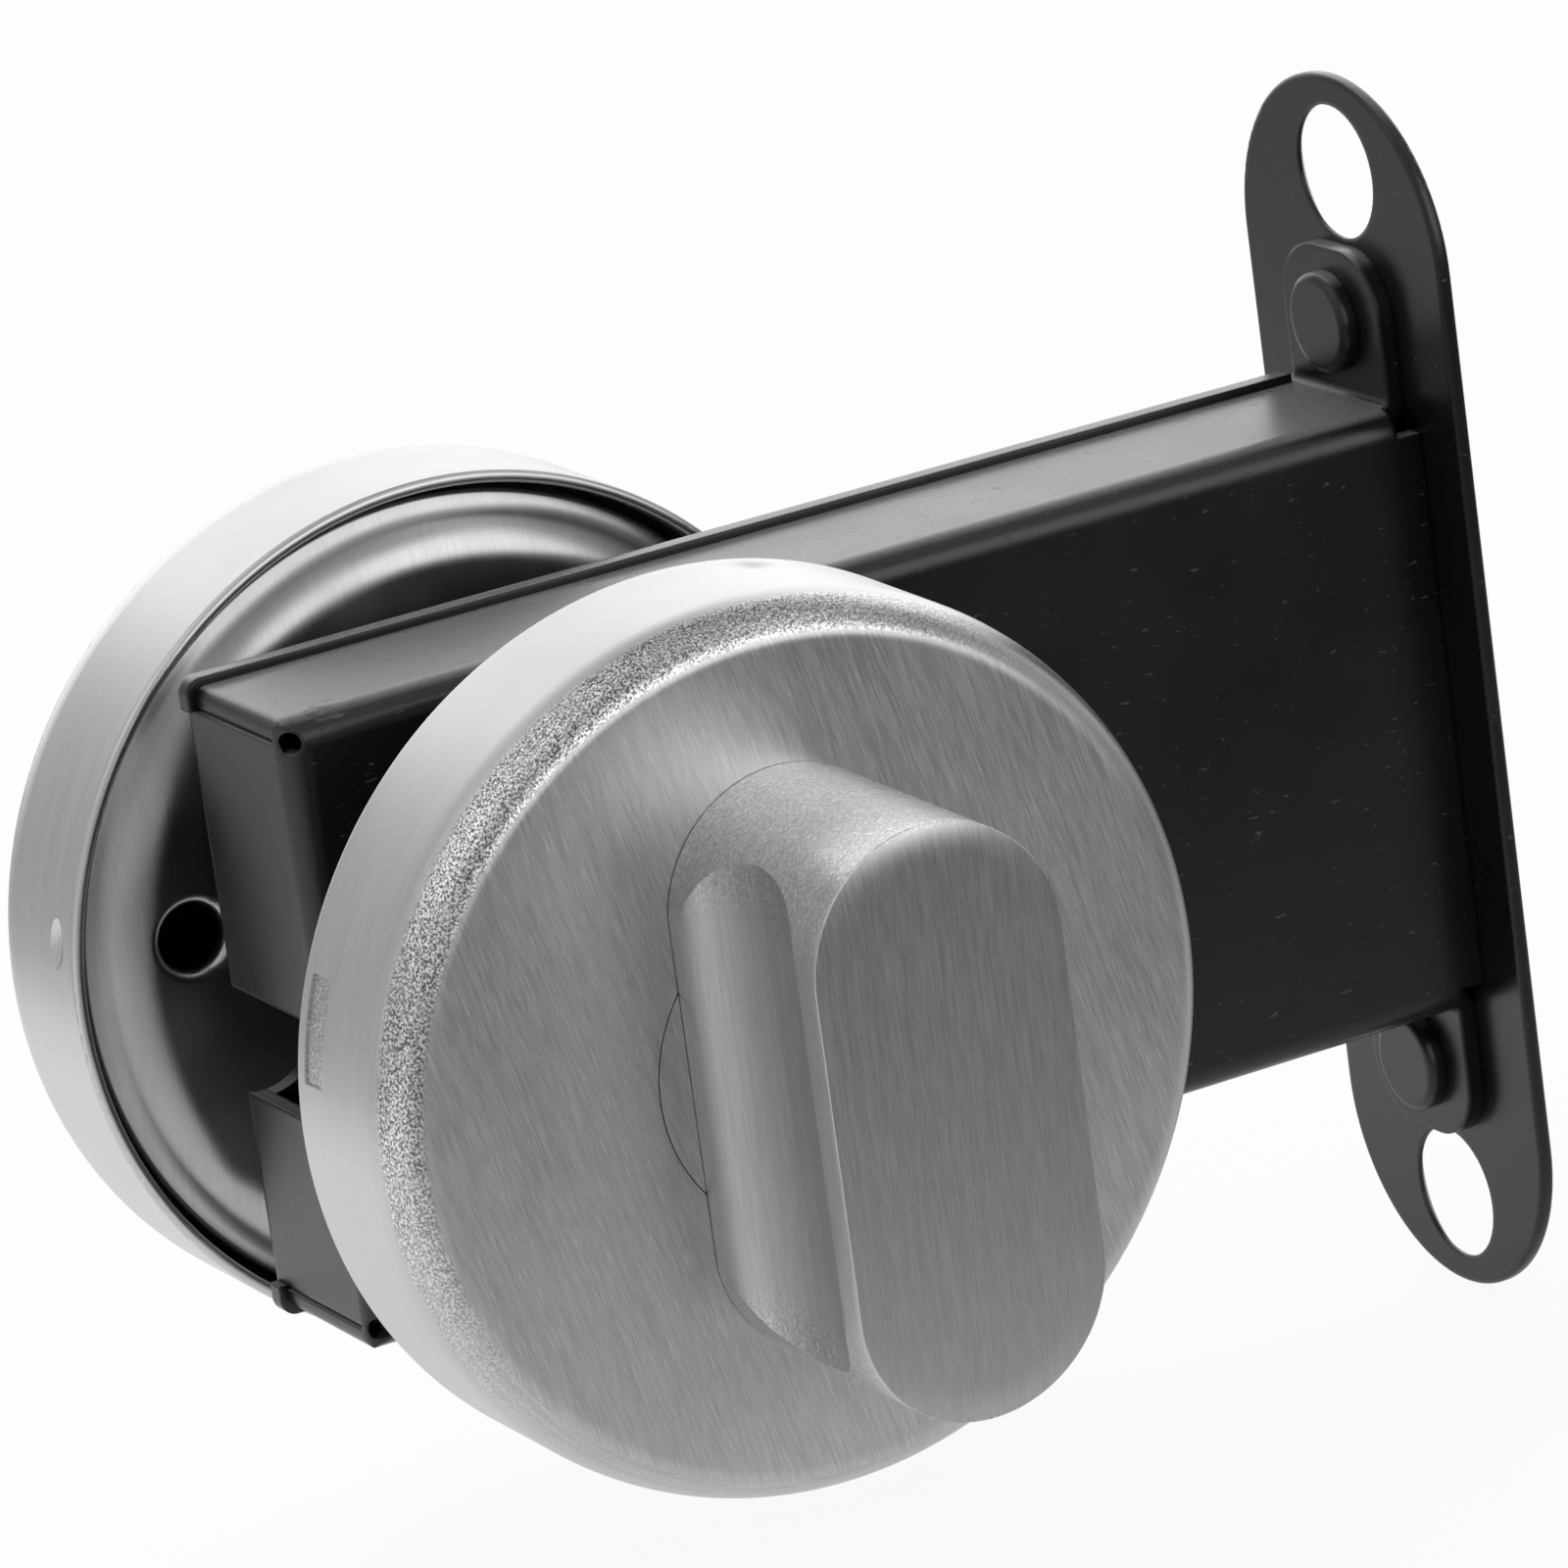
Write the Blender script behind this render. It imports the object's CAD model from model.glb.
import math

import bmesh
import bpy
import numpy as np
from bpy.props import FloatProperty, FloatVectorProperty, PointerProperty
from bpy.types import Operator, Panel, PropertyGroup
from mathutils import Matrix, Vector


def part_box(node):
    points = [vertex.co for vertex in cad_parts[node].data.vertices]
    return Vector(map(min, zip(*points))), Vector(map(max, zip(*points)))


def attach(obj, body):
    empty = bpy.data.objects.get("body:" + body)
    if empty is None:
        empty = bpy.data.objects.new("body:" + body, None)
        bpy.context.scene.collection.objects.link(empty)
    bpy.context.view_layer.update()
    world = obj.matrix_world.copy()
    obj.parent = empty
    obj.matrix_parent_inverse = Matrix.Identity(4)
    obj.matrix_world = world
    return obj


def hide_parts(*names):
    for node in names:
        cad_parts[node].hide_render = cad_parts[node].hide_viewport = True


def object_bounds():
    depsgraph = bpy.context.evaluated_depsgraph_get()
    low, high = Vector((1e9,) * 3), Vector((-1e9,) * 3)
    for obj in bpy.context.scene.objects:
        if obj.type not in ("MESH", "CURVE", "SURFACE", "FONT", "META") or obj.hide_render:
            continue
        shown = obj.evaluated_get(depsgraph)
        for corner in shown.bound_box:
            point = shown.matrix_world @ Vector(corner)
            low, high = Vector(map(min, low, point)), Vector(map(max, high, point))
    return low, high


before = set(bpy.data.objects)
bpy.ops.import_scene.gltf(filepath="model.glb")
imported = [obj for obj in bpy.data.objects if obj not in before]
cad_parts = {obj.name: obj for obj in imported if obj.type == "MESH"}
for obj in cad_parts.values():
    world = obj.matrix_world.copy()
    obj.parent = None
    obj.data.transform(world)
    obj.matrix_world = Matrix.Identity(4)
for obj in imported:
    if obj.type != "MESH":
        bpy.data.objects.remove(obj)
cad_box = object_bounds()

bl_info = {
    "name": "Indicator Bolt Finish",
    "version": (1, 0, 0),
    "blender": (4, 5, 0),
    "location": "View3D > Sidebar > Indicator Bolt",
    "description": "Brushed steel, black paint, turned surfaces and a studio for an indicator bolt",
    "category": "Object",
}

MM = 0.001

# Places that the pieces take from the solids
ROSE_LOW, ROSE_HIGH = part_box("inside_rose_cover")
AXIS_X = (ROSE_LOW.x + ROSE_HIGH.x) / 2
AXIS_Z = (ROSE_LOW.z + ROSE_HIGH.z) / 2
ROSE_R = (ROSE_HIGH.x - ROSE_LOW.x) / 2
NEAR_FACE = ROSE_LOW.y
NEAR_DOOR = ROSE_HIGH.y
FAR_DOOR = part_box("outside_rose_cover")[0].y
PLATE_LOW, PLATE_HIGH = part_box("inside_rose_plate")
COLLAR_LOW, COLLAR_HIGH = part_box("turn_collar")
KNOB_LOW, KNOB_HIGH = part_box("thumbturn_knob")
CLIP_LOW, CLIP_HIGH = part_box("knob_circlip")
SPINDLE_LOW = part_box("spindle")[0]
CASE_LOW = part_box("case_tray")[0]
COVER_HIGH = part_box("case_cover")[1]

# Small distances between the pieces
COLLAR_SHOULDER = 2.4 * MM
KNOB_GAP = 0.06 * MM
KNOB_BASE = NEAR_FACE - KNOB_GAP
CLIP_GROOVE = 0.9 * MM
SOCKET_PLAY = 0.03 * MM
COVER_PROUD = 0.5 * MM
CASE_TOP = COVER_HIGH.z - COVER_PROUD
FLOOR_GAP = 0.2 * MM
FLOOR_Z = cad_box[0].z - FLOOR_GAP

# Distance under which points are one, length or angle that counts as none, and points on the rounding inside
# a rose's edge
MERGE = 1e-7
TINY = 1e-8
INNER_POINTS = 14

# Zones of a rose, as distances in from its rim, or back from its face, where each begins and is full, and the
# direction in which its edge is torn most
FACE_END = (1.9 * MM, 1.5 * MM)
RIM_START = (0.26 * MM, 0.06 * MM)
GLINT_START = (2.15 * MM, 1.75 * MM)
GLINT_END = (0.3 * MM, 0.08 * MM)
GLINT_BACK = (4.0 * MM, 3.0 * MM)
TORN_X, TORN_Z = -0.66, 0.75

# Zones of the thumbturn: behind its front, and in from its ends
FRONT_SKIN = (0.15 * MM, 0.3 * MM)
KNOB_ENDS = (8.0 * MM, 3.0 * MM)

# Paint that is worn at the case's upper rear corner
WORN_PLACE = (CASE_LOW.x + 3.2 * MM, CASE_LOW.y + 0.9 * MM, CASE_TOP - 0.3 * MM)
WORN_REACH = 2.8 * MM

# Scales of the noise in each finish along X, Y and Z: the larger, the finer
FACE_LINES = (10000.0, 900.0, 420.0)
RIM_LINES = (110.0, 6500.0, 110.0)
EDGE_GRAIN = (7500.0, 7500.0, 5800.0)
KNOB_FRONT_LINES = (7000.0, 1200.0, 300.0)
KNOB_SIDE_LINES = (240.0, 7000.0, 240.0)
KNOB_GRAIN = (4500.0, 9000.0, 4500.0)
PLATE_LINES = (5200.0, 700.0, 170.0)
BOLT_LINES = (120.0, 2600.0, 2600.0)
TURNED_LINES = (1500.0, 1500.0, 1500.0)
RELEASE_LINES = (3000.0, 300.0, 3000.0)
SCRATCH_LINES = (9000.0, 700.0, 450.0)
SCUFF_LINES = (900.0, 3000.0, 3000.0)

# Colours of grains, marks, dust, worn paint and the stage
GLINT_BRIGHT = (1.0, 1.0, 1.0)
GLINT_DARK = (0.14, 0.14, 0.14)
SCRATCH_PALE = (0.9, 0.9, 0.9)
DUST_ON_ROSE = (0.85, 0.85, 0.83)
DUST_ON_KNOB = (0.9, 0.9, 0.88)
KNOB_BRIGHT = (0.95, 0.95, 0.94)
KNOB_DARK = (0.25, 0.25, 0.25)
SPECK_ON_STEEL = (0.3, 0.29, 0.27)
SPECK_ON_PAINT = (0.1, 0.1, 0.1)
DUST_ON_PAINT = (0.155, 0.155, 0.151)
WORN_PAINT = (0.06, 0.06, 0.058)
WHITE = (1.0, 1.0, 1.0, 1.0)
FLOOR_PALE = (0.85, 0.85, 0.85, 1.0)

# The stage in metres, the share of the floor that glows, and the strength of the world's light
FLOOR_REACH = 6.0
TENT_REACH = 1.0
FLOOR_GLOW = 0.92
WORLD_LIGHT = 0.55

# The light tent: its level, its upright panels and its soft patches. A panel has a direction, the shares of
# it where it begins and is full, the heights of its lower and upper fades, and its light. A patch has a
# direction, its shares and its light.
TENT_LEVEL = 0.36
TENT_PANELS = (
    ((0.43, 0.9, 0.0), (0.58, 0.82), (-0.3, -0.2), (0.58, 0.74), 1.35),
    ((0.3, -0.954, 0.0), (0.8, 0.92), (0.04, 0.16), (0.58, 0.72), 1.7),
)
TENT_PATCHES = (
    ((0.43, -0.27, 0.86), (0.93, 0.97), 0.45),
    ((-0.5, 0.1, 0.86), (0.75, 0.93), 0.5),
    ((-0.97, -0.1, 0.0), (0.3, 0.8), 0.25),
)

# The card on the floor: its level, its direction, where it brightens, and where it fades to a share
CARD_LEVEL = 0.12
CARD_WAY = (-0.45, 0.85, 0.0)
CARD_RISE = (-0.18, 0.14)
CARD_FADE = (0.14, 0.24, 1.0, 0.4)


def length(name, text, millimetres):
    """A size that a user may change, given in millimetres and kept in metres."""
    return FloatProperty(name=name, description=text, default=millimetres * MM, unit="LENGTH")


def angle(name, text, degrees):
    """An angle that a user may change, given in degrees."""
    return FloatProperty(name=name, description=text, default=math.radians(degrees), unit="ROTATION")


def share(name, text, default):
    """A value from 0 to 1 that a user may change."""
    return FloatProperty(name=name, description=text, default=default, min=0.0, max=1.0, subtype="FACTOR")


def tint(name, text, default):
    """A colour that a user may change."""
    return FloatVectorProperty(
        name=name, description=text, default=default, size=3, min=0.0, max=1.0, subtype="COLOR"
    )


class RoseSizes(PropertyGroup):
    """Sizes of the inside rose's cover that the solids don't give."""

    edge: length("Edge depth", "Depth of the front edge's rounding, from the face to the rim", 3.9)
    edge_wide: length("Edge width", "Width of that rounding, from the rim to the flat face", 2.5)
    wall: length("Wall", "Thickness of the drawn sheet", 0.8)
    break_edge: length("Broken edge", "Small rounding of the hole's edge", 0.05)
    hole_play: length("Hole play", "Gap round the turning collar", 0.05)
    dent_angle: angle("Dent angle", "Place of the first snap dent on the rim", 78)
    dent_place: length("Dent place", "Distance of a snap dent from the door", 2.4)
    dent_depth: length("Dent depth", "Depth of a snap dent", 0.3)
    dent_long: length("Dent length", "Half length of a snap dent round the rim", 2.2)
    dent_wide: length("Dent width", "Half width of a snap dent across the rim", 1.5)
    mark_angle: angle("Recess angle", "Place of the bare recess on the rim", 166)
    mark_place: length("Recess place", "Distance of the recess from the door", 2.3)
    mark_long: length("Recess length", "Length of the recess round the rim", 6.4)
    mark_wide: length("Recess width", "Width of the recess across the rim", 2.2)
    mark_depth: length("Recess depth", "Depth of the recess", 0.15)


class PlateSizes(PropertyGroup):
    """Sizes of the pressed fixing plates that the solids don't give."""

    sheet: length("Sheet", "Thickness of the pressed sheet", 1.0)
    bore: length("Bore", "Radius of the hole in the middle", 7.5)
    middle: length("Middle", "Radius of the flat middle", 21.3)
    shoulder: length("Shoulder", "Width of the shoulder round the middle", 2.8)
    shoulder_slope: share("Shoulder slope", "Fall at the outside of the shoulder", 0.85)
    foot: length("Foot", "Width of the bend between the shoulder and the ring", 0.8)
    ring_slope: share("Ring slope", "Fall of the ring outside the shoulder", 0.34)
    edge: length("Edge", "Rounding between the ring and the skirt", 0.45)
    fixing_place: length("Fixing place", "Distance of a screw hole from the spindle", 19.0)
    fixing_r: length("Fixing radius", "Radius of a screw hole", 2.1)
    fixing_flare: length("Fixing flare", "Rounding of a screw hole's edge", 0.8)
    outside_turn: angle("Outside turn", "Turn of the outside plate about the spindle", -9)


class KnobSizes(PropertyGroup):
    """Sizes of the thumbturn that the solids don't give."""

    groove_depth: length("Groove depth", "Depth of a finger groove", 2.0)
    groove_base: length("Base flat", "Flat between the base and a groove", 1.8)
    groove_front: length("Front flat", "Flat between a groove and the front", 2.2)
    groove_soft: length("Groove softness", "Rounding where a groove meets the base flat", 0.6)
    groove_crisp: length("Groove crispness", "Rounding where a groove meets the front flat", 0.1)
    front_edge: length("Front edge", "Rounding of the front face's edge", 0.07)
    roll_depth: length("Roll depth", "Fall of the front face at its ends, from polishing", 0.26)
    roll_reach: length("Roll reach", "Width of that fall", 2.0)
    stem: length("Stem radius", "Radius of the stem behind the bar", 6.0)
    socket: length("Socket", "Width of the square socket in the stem", 5.06)


class SteelFinish(PropertyGroup):
    """Finish of the brushed steel."""

    colour: tint("Colour", "Colour of the bare steel", (0.58, 0.58, 0.575))
    rim: tint("Rim colour", "Colour of the rims, which are brushed finer", (0.575, 0.575, 0.57))
    inner: tint("Inner colour", "Colour of the pressed plates and inner parts", (0.42, 0.42, 0.41))
    rough: share("Roughness", "Mean roughness of the brushed faces", 0.34)
    turn: angle("Brush turn", "Lean of the brush lines on the inside rose's face", 14)


class PaintFinish(PropertyGroup):
    """Finish of the black paint."""

    colour: tint("Colour", "Colour of the paint", (0.0035, 0.0035, 0.0038))
    rough: share("Roughness", "Mean roughness of the paint", 0.29)
    gloss: share("Gloss", "Reflection of the paint seen straight on", 0.5)


class StageSettings(PropertyGroup):
    """Camera and light."""

    turn: angle("Turn", "Camera's turn to the left of the rose's front", 26.94)
    height: angle("Height", "Camera's angle above the level", 16.97)
    roll: angle("Roll", "Camera's roll about its own line of sight", 7.838)
    distance: length("Distance", "Camera's distance from the point it looks at", 598.66)
    aim: FloatVectorProperty(
        name="Aim", description="Point that the camera looks at", size=3, unit="LENGTH",
        default=(-45.21 * MM, -3.56 * MM, 6.57 * MM),
    )
    lens: FloatProperty(name="Lens", description="Focal length in millimetres", default=229.12)


# Mesh helpers


def grid_faces(rows, columns, wrap_rows, wrap_columns):
    """Corners of the quads between neighbours of a grid, where each wrapped direction closes on itself."""
    i, j = np.meshgrid(
        np.arange(rows if wrap_rows else rows - 1),
        np.arange(columns if wrap_columns else columns - 1),
        indexing="ij",
    )
    down, across = (i + 1) % rows, (j + 1) % columns
    corners = [i * columns + j, i * columns + across, down * columns + across, down * columns + j]
    return np.stack(corners, axis=-1).reshape(-1, 4)


def make_piece(name, shells, sharp=30.0, **values):
    """One object from grids of points, each with the ways in which it wraps. Its doubles are merged, its
    faces are turned outwards and its edges are sharp past the given angle. Each named value, with one
    number for each point, becomes an attribute that a material reads."""
    points, faces, start = [], [], 0
    for grid, wrap_rows, wrap_columns in shells:
        rows, columns = grid.shape[:2]
        points.append(grid.reshape(-1, 3))
        faces.append(grid_faces(rows, columns, wrap_rows, wrap_columns) + start)
        start += rows * columns
    mesh = bpy.data.meshes.new(name)
    mesh.from_pydata(np.concatenate(points).tolist(), [], np.concatenate(faces).tolist())
    for label, numbers in values.items():
        mesh.attributes.new(label, "FLOAT", "POINT").data.foreach_set("value", np.ravel(numbers))
    work = bmesh.new()
    work.from_mesh(mesh)
    bmesh.ops.remove_doubles(work, verts=work.verts, dist=MERGE)
    bmesh.ops.dissolve_degenerate(work, edges=work.edges, dist=TINY)
    bmesh.ops.recalc_face_normals(work, faces=work.faces)
    work.to_mesh(mesh)
    work.free()
    mesh.polygons.foreach_set("use_smooth", np.ones(len(mesh.polygons), dtype=bool))
    mesh.set_sharp_from_angle(angle=math.radians(sharp))
    piece = bpy.data.objects.new(name, mesh)
    bpy.context.scene.collection.objects.link(piece)
    return piece


def arc(centre, radius, start, end, count):
    """Points of an arc in a section, from one angle to another in degrees."""
    turn = np.radians(np.linspace(start, end, count))
    return np.stack([centre[0] + radius * np.cos(turn), centre[1] + radius * np.sin(turn)], axis=1)


def dense(low, high, count, *spots):
    """Even steps between two values, with finer steps where an edge or a dent needs them. A spot is its
    middle, its reach and its count of steps."""
    steps = [np.linspace(low, high, count)]
    steps += [np.linspace(m - reach, m + reach, n) for m, reach, n in spots]
    joined = np.unique(np.round(np.concatenate(steps), 9))
    return joined[(joined >= low) & (joined <= high)]


def bump_of(distance):
    """A smooth hump: 1 in the middle, 0 from a distance of 1, level at both."""
    return np.where(distance < 1, np.cos(np.pi / 2 * np.clip(distance, 0, 1)) ** 2, 0.0)


def plateau(value, half, soft):
    """1 within half of zero, falling straight to 0 over a soft width outside it."""
    return np.clip((half + soft - np.abs(value)) / soft, 0, 1)


# Node helpers


def feed(tree, socket, value):
    """Fills a socket with a value or from another socket."""
    if isinstance(value, bpy.types.NodeSocket):
        tree.links.new(value, socket)
    else:
        socket.default_value = value


def add(tree, kind, inputs=None, **settings):
    """A node with its settings made and its sockets filled, from values or from other sockets."""
    node = tree.nodes.new("ShaderNode" + kind)
    for name, value in settings.items():
        setattr(node, name, value)
    for key, value in (inputs or {}).items():
        feed(tree, node.inputs[key], value)
    return node


def calc(tree, operation, a, b=0.0):
    """The result of one sum on values or sockets."""
    return add(tree, "Math", {0: a, 1: b}, operation=operation).outputs[0]


def times(tree, product, *factors):
    """The product of values or sockets."""
    for factor in factors:
        product = calc(tree, "MULTIPLY", product, factor)
    return product


def plus(tree, total, *terms):
    """The sum of values or sockets."""
    for term in terms:
        total = calc(tree, "ADD", total, term)
    return total


def stretch(tree, place, scale):
    """A place with each of its axes multiplied by its own scale."""
    return add(tree, "VectorMath", {0: place, 1: scale}, operation="MULTIPLY").outputs[0]


def inset(whole, band):
    """Two places measured in from a whole distance."""
    return [whole - part for part in band]


def step(tree, value, low, high, to_low=0.0, to_high=1.0):
    """A value carried smoothly from one range to another."""
    node = add(
        tree, "MapRange",
        {"Value": value, "From Min": low, "From Max": high, "To Min": to_low, "To Max": to_high},
        interpolation_type="SMOOTHSTEP",
    )
    return node.outputs["Result"]


def blend(tree, share_of, a, b):
    """A colour between two, by a share from 0 to 1. The node's sockets 6 and 7 take them, and 2 gives it."""
    sockets = bpy.types.NodeSocket
    a, b = [colour if isinstance(colour, sockets) else (*colour, 1.0) for colour in (a, b)]
    return add(tree, "Mix", {"Factor": share_of, 6: a, 7: b}, data_type="RGBA").outputs[2]


def noise(tree, place, scale, detail=2.0, rough=0.5):
    """A soft random value over a place."""
    node = add(tree, "TexNoise", {"Vector": place, "Scale": scale, "Detail": detail, "Roughness": rough})
    return node.outputs[0]


def group(tree, name, inputs, outputs, fill):
    """The numbers that a node group gives for its inputs. The group is made once, and fill works out its
    outputs from its inputs."""
    shared = bpy.data.node_groups.get(name)
    if shared is None:
        shared = bpy.data.node_groups.new(name, "ShaderNodeTree")
        for label, value in inputs.items():
            kind = "NodeSocketFloat" if isinstance(value, float) else "NodeSocketVector"
            shared.interface.new_socket(label, in_out="INPUT", socket_type=kind)
        for label in outputs:
            shared.interface.new_socket(label, in_out="OUTPUT", socket_type="NodeSocketFloat")
        entry, out = shared.nodes.new("NodeGroupInput"), shared.nodes.new("NodeGroupOutput")
        made = fill(shared, *[entry.outputs[label] for label in inputs])
        for label, value in zip(outputs, made):
            shared.links.new(value, out.inputs[label])
    return add(tree, "Group", inputs, node_tree=shared).outputs


def brush_lines(tree, place, scale):
    """Fine lines as a machine leaves them: noise that is stretched by a scale for each axis."""
    def fill(tree, place, scale):
        place = stretch(tree, place, scale)
        fine = noise(tree, place, 1.0, 5.0, 0.7)
        broad = noise(tree, place, 0.2, 2.0, 0.5)
        tone = plus(tree, times(tree, fine, 0.82), times(tree, broad, 0.18))
        return fine, step(tree, tone, 0.36, 0.64)

    return group(tree, "Brush lines", {"Place": place, "Scale": scale}, ("Height", "Tone"), fill)


def sparkle(tree, place, scale):
    """The torn ends of brush lines on a rounded edge: fine steep noise, stretched by a scale for each axis,
    that is stronger in soft patches, with its bright and its dark grains."""
    def fill(tree, place, scale):
        grain = noise(tree, stretch(tree, place, scale), 1.0, 1.0, 0.6)
        patch = step(tree, noise(tree, place, 400.0, 2.0, 0.5), 0.3, 0.6, 0.75, 1.0)
        bright, dark = step(tree, grain, 0.56, 0.62), step(tree, grain, 0.42, 0.49, 1.0, 0.0)
        return [times(tree, value, patch) for value in (grain, bright, dark)]

    return group(tree, "Sparkle", {"Place": place, "Scale": scale}, ("Height", "Bright", "Dark"), fill)


def handling(tree, place):
    """Marks of handling: thin scratches nearly along Z, dust specks and broad smears."""
    def fill(tree, place):
        lines = []
        for turn, seed in ((0.05, 0.0), (-0.07, 3.7)):
            moved = {"Vector": place, "Rotation": (0.0, turn, 0.0), "Location": (seed, seed, seed)}
            long = stretch(tree, add(tree, "Mapping", moved).outputs[0], SCRATCH_LINES)
            lines.append(step(tree, noise(tree, long, 1.0, 0.0, 0.3), 0.72, 0.78))
        cells = add(tree, "TexVoronoi", {"Vector": place, "Scale": 300.0})
        pick = add(tree, "SeparateXYZ", {0: cells.outputs["Color"]})
        size = times(tree, step(tree, pick.outputs[0], 0.8, 1.0), 0.035)
        speck = calc(tree, "LESS_THAN", cells.outputs["Distance"], size)
        smear = step(tree, noise(tree, place, 75.0, 3.0, 0.55), 0.3, 0.7)
        return calc(tree, "MAXIMUM", *lines), speck, smear

    return group(tree, "Handling", {"Place": place}, ("Scratch", "Speck", "Smear"), fill)


def worn_spot(tree, place):
    """Paint that is scuffed in short lines along X round a place: 1 where the metal shows."""
    def fill(tree, place, middle, reach):
        away = add(tree, "VectorMath", {0: place, 1: middle}, operation="DISTANCE")
        share_of = calc(tree, "DIVIDE", away.outputs["Value"], reach)
        grain = noise(tree, stretch(tree, place, SCUFF_LINES), 1.0, 3.0, 0.6)
        scuffed = plus(tree, grain, step(tree, share_of, 0.2, 1.0, 0.16, 0.0))
        return [step(tree, scuffed, 0.68, 0.72)]

    inputs = {"Place": place, "Middle": WORN_PLACE, "Reach": WORN_REACH}
    return group(tree, "Worn spot", inputs, ("Bare",), fill)[0]


def rose_zones(tree, place):
    """Where a point lies on a rose, from its distance to the spindle and its depth: past the flat face, on
    the rim, and on the part of the rounded edge that the brush tears most, which is its upper left."""
    def fill(tree, place):
        apart = add(tree, "SeparateXYZ", {0: place}).outputs
        x = calc(tree, "SUBTRACT", apart[0], AXIS_X)
        z = calc(tree, "SUBTRACT", apart[2], AXIS_Z)
        radius = calc(tree, "SQRT", plus(tree, times(tree, x, x), times(tree, z, z)))
        middle = (NEAR_DOOR + FAR_DOOR) / 2
        deep = calc(tree, "ABSOLUTE", calc(tree, "SUBTRACT", apart[1], middle))
        along = plus(tree, times(tree, z, TORN_Z), times(tree, x, TORN_X))
        torn = times(
            tree, step(tree, radius, *inset(ROSE_R, GLINT_START)),
            step(tree, radius, *inset(ROSE_R, GLINT_END), 1.0, 0.0),
            step(tree, deep, *inset(middle - NEAR_FACE, GLINT_BACK)),
            step(tree, calc(tree, "DIVIDE", along, ROSE_R), -0.1, 0.95, 0.08, 1.0),
        )
        outer, rim = [step(tree, radius, *inset(ROSE_R, band)) for band in (FACE_END, RIM_START)]
        return outer, rim, torn

    return group(tree, "Rose zones", {"Place": place}, ("Outer", "Rim", "Torn"), fill)


def blank(name):
    """A material without nodes, and its tree."""
    material = bpy.data.materials.new(name)
    material.use_nodes = True
    material.node_tree.nodes.clear()
    return material, material.node_tree


def show(tree, shader, kind="Material"):
    """Joins a shader to the output of its material or world."""
    out = tree.nodes.new("ShaderNodeOutput" + kind)
    tree.links.new(shader.outputs[0], out.inputs[0])


def start_material(name):
    """A material with its shader and a place on the object."""
    material, tree = blank(name)
    shader = add(tree, "BsdfPrincipled")
    show(tree, shader)
    return material, tree, shader, add(tree, "TexCoord").outputs["Object"]


def put(tree, shader, **sockets):
    """Values and sockets on the shader, by the socket's name with _ for a space."""
    for name, value in sockets.items():
        feed(tree, shader.inputs[name.replace("_", " ")], value)


def bump(tree, height, depth, normal=None):
    """A surface normal from a height, with its depth in metres."""
    inputs = {"Height": height, "Distance": depth, "Strength": 1.0}
    if normal is not None:
        inputs["Normal"] = normal
    return add(tree, "Bump", inputs).outputs[0]


def shades(colour, low, high):
    """A colour made darker and lighter."""
    return [low * c for c in colour], [min(1.0, high * c) for c in colour]


def rose_steel(look, name, turn):
    """Brushed steel of a rose: lines across its face at a turn, glints on its edge, fine lines round its rim
    and grain in the bare recess."""
    material, tree, shader, place = start_material(name)
    leaned = add(tree, "Mapping", {"Vector": place, "Rotation": (0.0, turn, 0.0)}).outputs[0]
    past_face, rim, torn = rose_zones(tree, place)
    face_height, face_tone = brush_lines(tree, leaned, FACE_LINES)
    rim_height, rim_tone = brush_lines(tree, place, RIM_LINES)
    grain, bright, dark = sparkle(tree, leaned, EDGE_GRAIN)
    scratch, speck, smear = handling(tree, leaned)
    recess = add(tree, "Attribute", attribute_name="recess").outputs["Fac"]
    on_face = calc(tree, "SUBTRACT", 1.0, past_face)
    on_edge = times(tree, torn, calc(tree, "SUBTRACT", 1.0, rim))
    grainy = calc(tree, "MAXIMUM", on_edge, times(tree, recess, 0.5))
    tone = add(tree, "Mix", {"Factor": past_face, "A": face_tone, "B": rim_tone}).outputs[0]
    colour = blend(tree, tone, *shades(look.colour, 0.86, 1.09))
    colour = blend(tree, rim, colour, blend(tree, tone, *shades(look.rim, 0.94, 1.02)))
    colour = blend(tree, times(tree, recess, 0.4), colour, [0.8 * c for c in look.rim])
    colour = blend(tree, times(tree, bright, grainy), colour, GLINT_BRIGHT)
    colour = blend(tree, times(tree, dark, grainy), colour, GLINT_DARK)
    colour = blend(tree, times(tree, scratch, on_face, 0.35), colour, SCRATCH_PALE)
    colour = blend(tree, times(tree, speck, 0.7), colour, DUST_ON_ROSE)
    height = plus(
        tree, times(tree, face_height, on_face), times(tree, rim_height, rim, 0.3),
        times(tree, grain, grainy, 5.0),
    )
    rough = plus(
        tree, look.rough - 0.02, times(tree, tone, 0.06), times(tree, smear, 0.04),
        times(tree, grainy, -0.08),
    )
    normal = bump(tree, height, 0.006 * MM)
    put(tree, shader, Base_Color=colour, Metallic=1.0, Roughness=rough, Normal=normal)
    return material


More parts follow.
